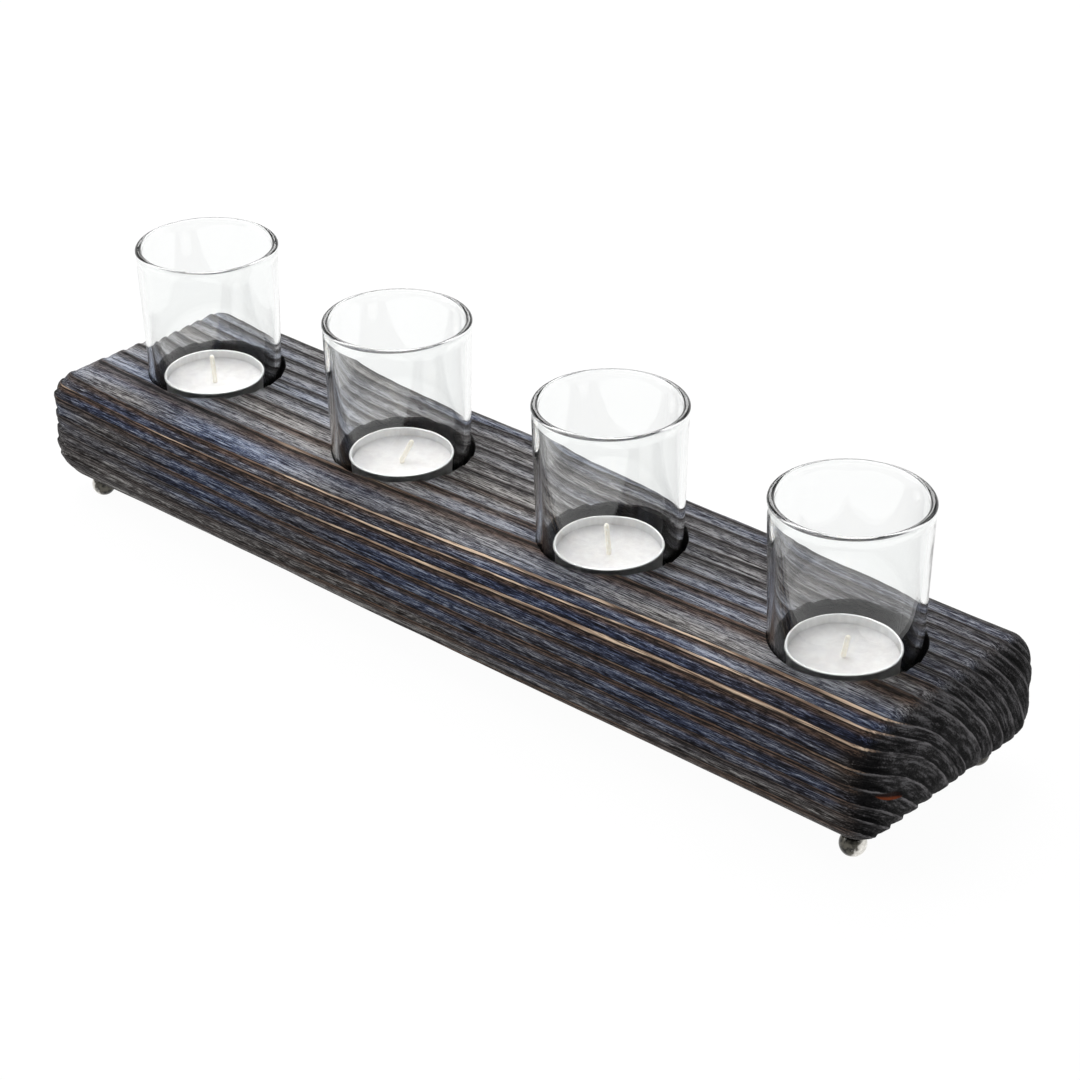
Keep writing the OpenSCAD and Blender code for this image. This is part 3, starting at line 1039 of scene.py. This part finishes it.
settle(make_block(wood), "block", "charred_wood", "block")
for i in CANDLES:
    settle(make_glass(i, glass), f"glass_{i}", "clear_glass", f"glass_{i}")
    settle(make_cup(i, foil), f"tealight_{i}", "cup_foil", f"tealight_cup_{i}")
    settle(make_wax(i, wax), f"tealight_{i}", "candle_wax", f"tealight_wax_{i}")
    settle(make_wick(i, cotton), f"tealight_{i}", "cotton_wick", f"wick_{i}")
for node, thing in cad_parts.items():
    if node.startswith("foot_screw") or node.startswith("wick_tab"):
        thing.data.materials.clear()
        thing.data.materials.append(tin)
    elif node.startswith("foot"):
        settle(make_foot(node, nickel), "block", "polished_nickel", node)

# ---------------------------------------------------------------- camera, floor and light

CAMERA_PLACE = (0.59777, -0.63504, 0.52350)
CAMERA_YAW, CAMERA_PITCH, CAMERA_ROLL = math.radians(-42.36), math.radians(29.54), math.radians(0.59)
# Focal length in parts of the image's width
CAMERA_FOCUS = 2846.83 / 1080
CAMERA_REACH = 50.0
# Width of the camera's sensor in mm
SENSOR = 36.0
FLOOR_HALF = 12000.0
FLOOR_GLOW = 0.965
LIGHT_AIM = (0.0, 0.0, 0.04)
# Place, size and power of each softbox
LIGHTS = {
    "top_softbox": ((-0.40, 0.10, 1.25), (1.2, 0.9), 17),
    "left_softbox": ((-1.00, -0.75, 0.90), (0.9, 0.7), 8),
    "back_softbox": ((0.50, 0.95, 0.90), (0.9, 0.7), 3),
    "rim_softbox": ((-0.80, 0.90, 1.05), (1.1, 0.9), 14),
}
# How the studio dims upwards: between which heights of the direction, and from and to what strength
WORLD_FADE = {"From Min": 0.16, "From Max": 0.42, "To Min": 0.95, "To Max": 0.36}


def make_camera():
    forward = np.array(
        [
            math.sin(CAMERA_YAW) * math.cos(CAMERA_PITCH),
            math.cos(CAMERA_YAW) * math.cos(CAMERA_PITCH),
            -math.sin(CAMERA_PITCH),
        ]
    )
    level = np.array([math.cos(CAMERA_YAW), -math.sin(CAMERA_YAW), 0.0])
    down = np.cross(forward, level)
    right = math.cos(CAMERA_ROLL) * level + math.sin(CAMERA_ROLL) * down
    below = -math.sin(CAMERA_ROLL) * level + math.cos(CAMERA_ROLL) * down
    data = bpy.data.cameras.new("camera")
    data.sensor_width = SENSOR
    data.lens = CAMERA_FOCUS * SENSOR
    data.clip_end = CAMERA_REACH
    camera = bpy.data.objects.new("camera", data)
    bpy.context.scene.collection.objects.link(camera)
    turn = Matrix(np.stack([right, -below, -forward], axis=1).tolist()).to_4x4()
    camera.matrix_world = Matrix.Translation(CAMERA_PLACE) @ turn
    bpy.context.scene.camera = camera


def make_floor():
    g = Graph("studio_floor")
    g.set(Base_Color=g.mix(g.noise((90, 90, 90)), grey(0.02), grey(0.03)), Roughness=0.9)
    g.set(Specular_IOR_Level=0.1, Emission_Color=grey(1.0), Emission_Strength=FLOOR_GLOW)
    signs = ((-1, -1), (1, -1), (1, 1), (-1, 1))
    corners = [(x * FLOOR_HALF, y * FLOOR_HALF, 0) for x, y in signs]
    floor = make_object("studio_floor", corners, [(0, 1, 2, 3)], g.material)


def add_light(name, place, size, power):
    """A rectangular softbox at a place in metres, aimed at the middle of the object."""
    data = bpy.data.lights.new(name, "AREA")
    data.shape = "RECTANGLE"
    data.size, data.size_y = size
    data.energy = power
    light = bpy.data.objects.new(name, data)
    bpy.context.scene.collection.objects.link(light)
    back = unit(np.array(place) - np.array(LIGHT_AIM))
    side = unit(np.cross([0.0, 0.0, 1.0], back))
    turn = Matrix(np.stack([side, np.cross(back, side), back], axis=1).tolist()).to_4x4()
    light.matrix_world = Matrix.Translation(place) @ turn


def make_world():
    """A studio that is pale near the horizon and dim overhead, which gives clear glass dark outlines."""
    world = bpy.data.worlds.new("studio")
    world.use_nodes = True
    nodes, links = world.node_tree.nodes, world.node_tree.links
    direction = nodes.new("ShaderNodeTexCoord").outputs["Generated"]
    height = nodes.new("ShaderNodeSeparateXYZ")
    links.new(direction, height.inputs[0])
    fade = nodes.new("ShaderNodeMapRange")
    fade.interpolation_type = "SMOOTHSTEP"
    for key, value in WORLD_FADE.items():
        fade.inputs[key].default_value = value
    links.new(height.outputs["Z"], fade.inputs["Value"])
    links.new(fade.outputs[0], nodes["Background"].inputs["Strength"])
    nodes["Background"].inputs["Color"].default_value = grey(1.0)
    bpy.context.scene.world = world


make_camera()
make_floor()
make_world()
for name, (place, size, power) in LIGHTS.items():
    add_light(name, place, size, power)

view = bpy.context.scene.view_settings
view.view_transform = "Standard"
view.look = "None"
